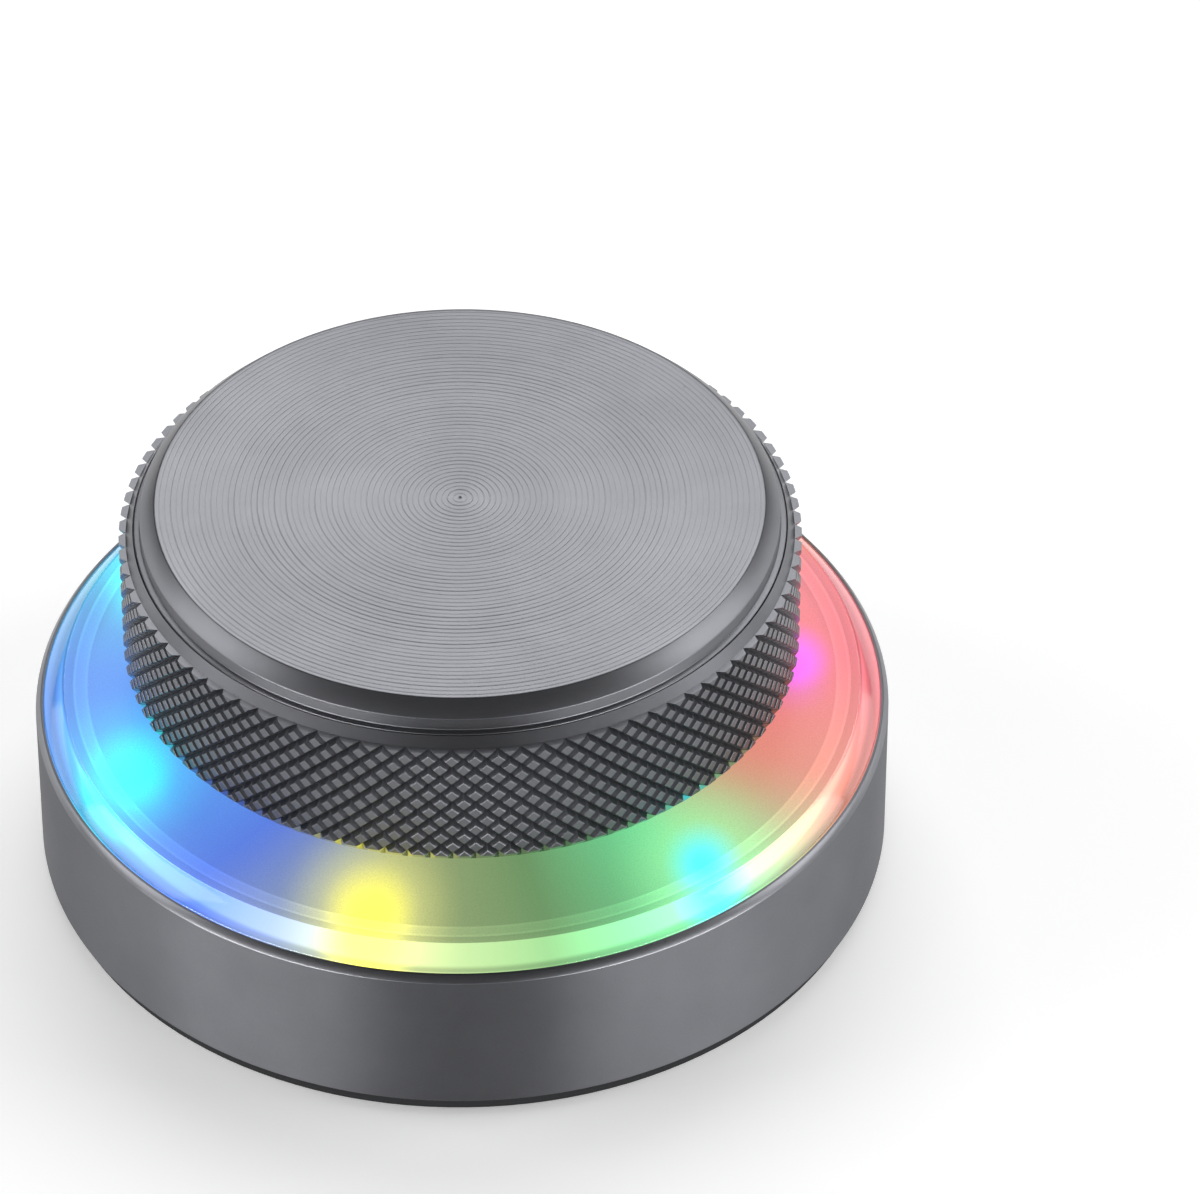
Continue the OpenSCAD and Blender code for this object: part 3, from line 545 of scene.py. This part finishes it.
bm = spun(outline, False)
for corner, width in (((FACE_R, FACE_Z), 0.1), ((NECK_R, NECK_TOP), 0.12),
                      ((LEDGE_R, LEDGE_Z), 0.16), ((NECK_R, LEDGE_Z), 0.12)):
    round_corners(bm, [corner], width)
for face in bm.faces:
    middle = face.calc_center_median() / MM
    upright = abs(face.normal.z) < 0.3 and middle.z > LEDGE_Z
    on_neck = upright and NECK_R - 0.2 < middle.xy.length < NECK_R + 0.1
    face.material_index = 2 if on_neck else int(middle.z < FACE_Z - FACE_SKIN)
dial_cap = keep(bm, "dial_cap", "knob", [cap_metal, side_metal, base_metal],
                "knob_cap")


def on_face(point):
    """Whether a point in metres lies on the turned face, inside its rim."""
    return point.z > (FACE_Z - FACE_SKIN) * MM and point.xy.length < (FACE_R - 0.2) * MM


points = dial_cap.data.vertices
for edge in dial_cap.data.edges:
    edge.use_edge_sharp |= all(on_face(points[i].co) for i in edge.vertices)
print("rings on the face", round((FACE_R - PLAIN_RIM) / RING_PITCH))

# %% [markdown]
# ## Knurled grip
# A knurl is two sets of spiral grooves that cross, and what stands between them are flat-topped
# diamonds. One diamond is a single face here. A spin sets 94 of them round the dial, each next row
# is a copy turned by half a diamond and raised by half a diamond, and welding makes a closed net.
# Insetting every face by itself, with a depth, then raises all the flats out of the net at once and
# leaves the V grooves. The grooves are the same metal as the flats but painted lighter, as painted
# light in them, and the flats a little darker, as painted shade. The flats get a small bevel, for
# the light line on their edges.

# %% Knurled grip
GRIP_R = 31.5
GRIP_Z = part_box("knurled_ring")[0].z / MM
KNURL_DEPTH = 0.65
KNURL_FLOOR = GRIP_R - KNURL_DEPTH
KNURL_STARTS = 94
KNURL_ROWS = 6
KNURL_LOW, KNURL_TOP = GRIP_Z + 0.8, GRIP_Z + 13.1
HALF_ROW = (KNURL_TOP - KNURL_LOW) / (2 * KNURL_ROWS)
HALF_TURN = math.pi / KNURL_STARTS
NET_WELD = 0.01 * MM
FLAT_INSET = 0.32
FLAT_EDGE = 0.045

bm = bmesh.new()
corner_r = KNURL_FLOOR * MM
diamond = [bm.verts.new((corner_r * math.cos(a * HALF_TURN), corner_r * math.sin(a * HALF_TURN),
                         (KNURL_LOW + h * HALF_ROW) * MM))
           for a, h in ((0, 0), (1, -1), (2, 0), (1, 1))]
bmesh.ops.spin(bm, geom=[bm.faces.new(diamond)], cent=(0, 0, 0), axis=(0, 0, 1),
               angle=2 * math.pi * (KNURL_STARTS - 1) / KNURL_STARTS, steps=KNURL_STARTS - 1,
               use_duplicate=True)
row = list(bm.faces)
for k in range(1, 2 * KNURL_ROWS + 1):
    copy = bmesh.ops.duplicate(bm, geom=row)["geom"]
    corners = [g for g in copy if isinstance(g, bmesh.types.BMVert)]
    bmesh.ops.rotate(bm, verts=corners, cent=(0, 0, 0),
                     matrix=Matrix.Rotation(k * HALF_TURN, 3, "Z"))
    bmesh.ops.translate(bm, verts=corners, vec=(0, 0, k * HALF_ROW * MM))
bmesh.ops.remove_doubles(bm, verts=bm.verts, dist=NET_WELD)
bmesh.ops.recalc_face_normals(bm, faces=bm.faces)
if bm.faces[0].normal.dot(bm.faces[0].calc_center_median()) < 0:
    bmesh.ops.reverse_faces(bm, faces=bm.faces)
flats = list(bm.faces)
print("knurl net", len(flats), "diamonds", len(bm.verts), "crossings")
walls = bmesh.ops.inset_individual(bm, faces=flats, thickness=FLAT_INSET * MM,
                                   depth=KNURL_DEPTH * MM, use_even_offset=True)["faces"]
# The grooves get the lighter metal: painted light in them
for face in walls:
    face.material_index = 1
bmesh.ops.bevel(bm, geom=list({e for f in flats for e in f.edges}), offset=FLAT_EDGE * MM,
                offset_type="OFFSET", segments=2, profile=0.5, affect="EDGES", material=0)

# %% [markdown]
# ## Ends of the grip
# The net is cut to its height, which leaves two open rims. Extruding a rim and moving its new
# points to one radius and height draws it in: the upper rim goes over a level strip and a shoulder
# down to the drum of the cap, the lower one down a bevel and then to the same drum. That bevel is
# painted much lighter than the grip, so that the ring's light shows brighter on it: a painted
# highlight. A bridge closes the bore between them.

# %% Ends of the grip
SHOULDER_IN = LEDGE_R + 0.05
GRIP_SHARP = 8


def trim(bm, height, side):
    """Cut the mesh at a height in millimetres, drop what lies above it, or below it where side is
    -1, and give the open rim."""
    bmesh.ops.bisect_plane(bm, geom=list(bm.verts) + list(bm.edges) + list(bm.faces), dist=WELD,
                           plane_co=(0, 0, height * MM), plane_no=(0, 0, side), clear_outer=True)
    return [e for e in bm.edges
            if e.is_boundary and all(abs(v.co.z - height * MM) < CLOSE for v in e.verts)]


def draw_in(bm, rim, radius, height, finish=0):
    """Extrude an open rim to one radius and height in millimetres, and give the new rim back."""
    made = bmesh.ops.extrude_edge_only(bm, edges=rim)["geom"]
    points = {g for g in made if isinstance(g, bmesh.types.BMVert)}
    for v in points:
        v.co = Vector((*(v.co.xy.normalized() * radius * MM), height * MM))
    for face in {f for v in points for f in v.link_faces}:
        face.material_index = finish
    return [g for g in made if isinstance(g, bmesh.types.BMEdge) and set(g.verts) <= points]


upper = trim(bm, KNURL_TOP, 1)
for radius, height in ((KNURL_FLOOR, KNURL_TOP), (SHOULDER_IN + 0.05, LEDGE_Z - 0.1),
                       (SHOULDER_IN, LEDGE_Z - 0.12), (SHOULDER_IN, LEDGE_Z - LEDGE_T),
                       (DRUM_R, LEDGE_Z - LEDGE_T)):
    upper = draw_in(bm, upper, radius, height)
# The lower bevel takes the lighter metal, a painted highlight
lower = draw_in(bm, trim(bm, KNURL_LOW, -1), KNURL_FLOOR, GRIP_Z, 2)
lower = draw_in(bm, lower, DRUM_R, GRIP_Z)
bmesh.ops.bridge_loops(bm, edges=upper + lower)
bmesh.ops.remove_doubles(bm, verts=bm.verts, dist=WELD)
bmesh.ops.recalc_face_normals(bm, faces=bm.faces)
keep(bm, "knurled_grip", "knob", [grip_metal, groove_painted_light, bevel_painted_highlight],
     "knurled_ring", GRIP_SHARP)

# %% [markdown]
# ## Plain finishes for the carried pieces
# Everything else keeps its CAD mesh: the foot, the deck and its collar, the socket, the switch, and
# all that is shut inside. Each gets the finish of what it is made of. One function serves them all,
# because moulded plastic, rubber, solder mask, foil and plain metal differ here in colour, gloss,
# and the size of their grain.

# %% Plain finishes
RELIEF_HEIGHT = 0.05 * MM


def plain(name, colour, metallic, roughness, grain_mm, bump):
    """A finish with a grain of that size: it varies the tone a little, and roughens the surface."""
    material, tree, shader, place = new_finish(name)
    grain = add(tree, "ShaderNodeTexNoise",
                inputs={"Vector": place, "Scale": 1 / (grain_mm * MM), "Detail": 3.0})
    tone = add(tree, "ShaderNodeMapRange",
               inputs={"Value": grain.outputs["Fac"], "To Min": 0.85, "To Max": 1.15})
    shade = add(tree, "ShaderNodeVectorMath", {"operation": "SCALE"},
                {0: linear(colour)[:3], "Scale": tone.outputs["Result"]})
    relief = add(tree, "ShaderNodeBump",
                 inputs={"Height": grain.outputs["Fac"], "Strength": bump,
                         "Distance": RELIEF_HEIGHT})
    tree.links.new(shade.outputs["Vector"], shader.inputs["Base Color"])
    tree.links.new(relief.outputs["Normal"], shader.inputs["Normal"])
    shader.inputs["Metallic"].default_value = metallic
    shader.inputs["Roughness"].default_value = roughness
    return material


# Colour, metallic, roughness, grain in millimetres and strength of the relief, and what each gives
# the eye
FINISHES = {
    "rubber_matt": ("#1b1c1e", 0.0, 0.85, 0.3, 0.5),  # nearly black, takes no highlight
    "abs_black_textured": ("#232427", 0.0, 0.55, 0.25, 0.4),  # soft, broken highlight
    "abs_white_moulded": ("#efefeb", 0.0, 0.45, 0.6, 0.1),  # smooth and even
    "resin_clear_cast": ("#f6f5e6", 0.0, 0.2, 0.8, 0.05),  # glossy, a little yellow
    "epoxy_chip_moulded": ("#26272a", 0.0, 0.6, 0.15, 0.3),  # sooty, with a fine grain
    "foam_pad_matt": ("#3f4043", 0.0, 0.95, 0.4, 0.8),  # dull and pitted
    "solder_mask_green": ("#1c5a3a", 0.0, 0.35, 0.8, 0.1),  # lacquer with a clear highlight
    "foil_pouch_pressed": ("#b4b9c0", 1.0, 0.35, 1.5, 0.3),  # silvery, slightly wrinkled
    "wire_insulation_red": ("#a32222", 0.0, 0.35, 0.5, 0.05),  # smooth, a little glossy
    "steel_plain": ("#bcbec2", 1.0, 0.3, 0.3, 0.1),  # bright, mirrors the room softly
    "brass_spring": ("#c9a957", 1.0, 0.3, 0.3, 0.1),  # the same in yellow
}
made = {name: plain(name, *values) for name, values in FINISHES.items()}
WORN_BY = {
    "rubber_matt": ["rubber_foot"],
    "abs_black_textured": ["bottom_cover", "usb_c_tongue", "center_deck", "encoder_base",
                           "knob_hub"],
    "abs_white_moulded": ["diffuser_ring", "light_chamber", "battery_socket",
                          "power_switch_slider", "switch_plunger", "encoder_rotor"],
    "resin_clear_cast": ["leds"],
    "epoxy_chip_moulded": ["controller_chip", "charge_chip"],
    "foam_pad_matt": ["battery_pad"],
    "solder_mask_green": ["main_board"],
    "foil_pouch_pressed": ["battery"],
    "wire_insulation_red": ["battery_leads"],
    "steel_plain": ["cover_screws", "crystal_can", "usb_c_shell", "power_switch_body",
                    "board_screws", "encoder_pins", "encoder_frame", "encoder_washer",
                    "encoder_nut", "switch_dome", "encoder_shaft", "hub_screws"],
    "brass_spring": ["detent_spring"],
}
for name, nodes in WORN_BY.items():
    for node in nodes:
        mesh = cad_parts[node].data
        mesh.materials.clear()
        mesh.materials.append(made[name])
print("finishes", len(made), "on", sum(map(len, WORN_BY.values())), "carried pieces")

# %% [markdown]
# ## Floor
# The object stands on a plain sheet of pale card, which keeps its shadow. What the camera, a mirror
# or clear plastic sees of it is lifted a little towards white, and the light that it sends onto the
# object stays as it is.

# %% Floor
FLOOR_HALF = 6.0
FLOOR_LIFT = 0.31

floor_mesh = bpy.data.meshes.new("floor")
bm = bmesh.new()
bmesh.ops.create_grid(bm, x_segments=1, y_segments=1, size=FLOOR_HALF)
bm.to_mesh(floor_mesh)
bm.free()
floor = bpy.data.objects.new("floor", floor_mesh)
bpy.context.scene.collection.objects.link(floor)
floor_finish, tree, shader, _ = new_finish("floor_pale_card")
rays = add(tree, "ShaderNodeLightPath")
seen = add(tree, "ShaderNodeMath", {"operation": "MAXIMUM"},
           {0: rays.outputs["Is Camera Ray"], 1: rays.outputs["Is Glossy Ray"]})
seen = add(tree, "ShaderNodeMath", {"operation": "MAXIMUM"},
           {0: seen.outputs["Value"], 1: rays.outputs["Is Transmission Ray"]})
lift = add(tree, "ShaderNodeMath", {"operation": "MULTIPLY"},
           {0: seen.outputs["Value"], 1: FLOOR_LIFT})
tree.links.new(lift.outputs["Value"], shader.inputs["Emission Strength"])
shader.inputs["Emission Color"].default_value = linear("#ffffff")
shader.inputs["Base Color"].default_value = linear("#fcfcfc")
shader.inputs["Roughness"].default_value = 0.9
shader.inputs["Specular IOR Level"].default_value = 0.1
floor_mesh.materials.append(floor_finish)
print("floor", 2 * FLOOR_HALF, "m across")

# %% [markdown]
# ## Studio light
# A large soft lamp hangs high at the back, so that the turned face looks into it. At each side a
# soft lamp, a small low one behind it and a low strip in front of it make the bands on the base
# wall and on the bevels, and the front stays darker. An area lamp's brightness is its power over pi
# times its area, so the power below is worked out from the brightness wanted.

# %% Studio light
DIAL_MIDDLE = Vector((0, 0, 0.02))
SKY_LEVEL = 0.09
# Name, place, width and height in metres, and brightness
LAMPS = [("lamp_back", (0.08, 0.66, 0.80), 1.0, 0.6, 3.05)]
for side, name, level in ((1, "right", 3.3), (-1, "left", 2.9)):
    LAMPS += [("lamp_" + name, (side * 0.72, 0.02, 0.39), 0.46, 0.50, level),
              ("low_" + name, (side * 0.6, 0.35, 0.09), 0.3, 0.15, 1.8),
              ("strip_" + name, (side * 0.43, -0.40, 0.04), 0.5, 0.08, 15.0)]


def soft_lamp(name, place, width, height, brightness):
    """A rectangular lamp that looks at the dial."""
    lamp = bpy.data.lights.new(name, "AREA")
    lamp.shape = "RECTANGLE"
    lamp.size, lamp.size_y = width, height
    lamp.energy = brightness * math.pi * width * height
    holder = bpy.data.objects.new(name, lamp)
    holder.location = place
    looks = DIAL_MIDDLE - Vector(place)
    holder.rotation_euler = looks.to_track_quat("-Z", "Y").to_euler()
    bpy.context.scene.collection.objects.link(holder)
    print(name, "power", round(lamp.energy, 2))


for row in LAMPS:
    soft_lamp(*row)

world = bpy.data.worlds.new("studio")
bpy.context.scene.world = world
world.use_nodes = True
world.node_tree.nodes.clear()
sky = add(world.node_tree, "ShaderNodeBackground",
          inputs={"Color": linear("#ffffff"), "Strength": SKY_LEVEL})
add(world.node_tree, "ShaderNodeOutputWorld", inputs={"Surface": sky.outputs["Background"]})
bpy.context.scene.view_settings.view_transform = "Standard"
